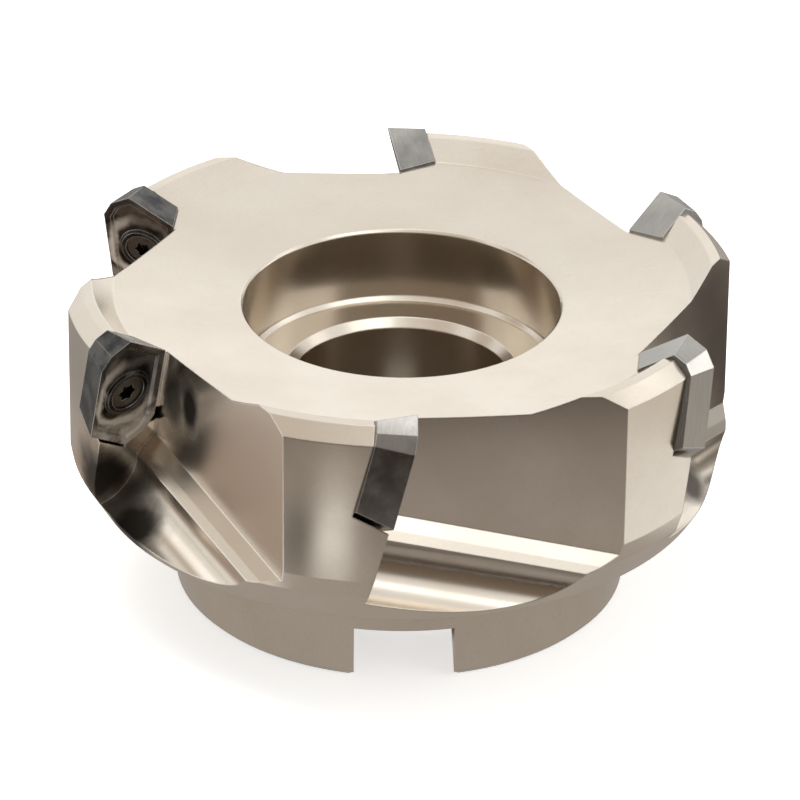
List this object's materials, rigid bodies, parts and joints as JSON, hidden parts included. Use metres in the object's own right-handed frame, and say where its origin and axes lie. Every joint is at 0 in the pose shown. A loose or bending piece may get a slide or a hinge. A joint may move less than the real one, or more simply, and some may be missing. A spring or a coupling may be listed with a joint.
{
  "type": "indexable face mill",
  "caption": "Shell-type shoulder face mill: a plated steel body with deep chip gullets, screwed carbide inserts on its rim, a screw recess, an arbor bore and a cross drive slot in its hub",
  "frame": {"origin": "centre of the overall box at the hub's mounting face, on the tool's axis", "axes": "+Z runs along the tool's axis from the mounting face to the inserts' end edges, the drive slot runs along Y, and X crosses it"},
  "size_m": [0.0962, 0.1006, 0.05],
  "materials": {
    "plated_steel": "satin nickel plating with a warm tint over turned and milled steel",
    "carbide": "ground cemented carbide, dark grey, the lead edges bright",
    "screw_steel": "hardened steel, dark, lightly oiled"
  },
  "bodies": {
    "root": {"cutter_body": "plated_steel", "insert_1": "carbide", "insert_2": "carbide", "insert_3": "carbide", "insert_4": "carbide", "insert_5": "carbide", "insert_6": "carbide", "insert_screws": "screw_steel"}
  },
  "joints": []
}
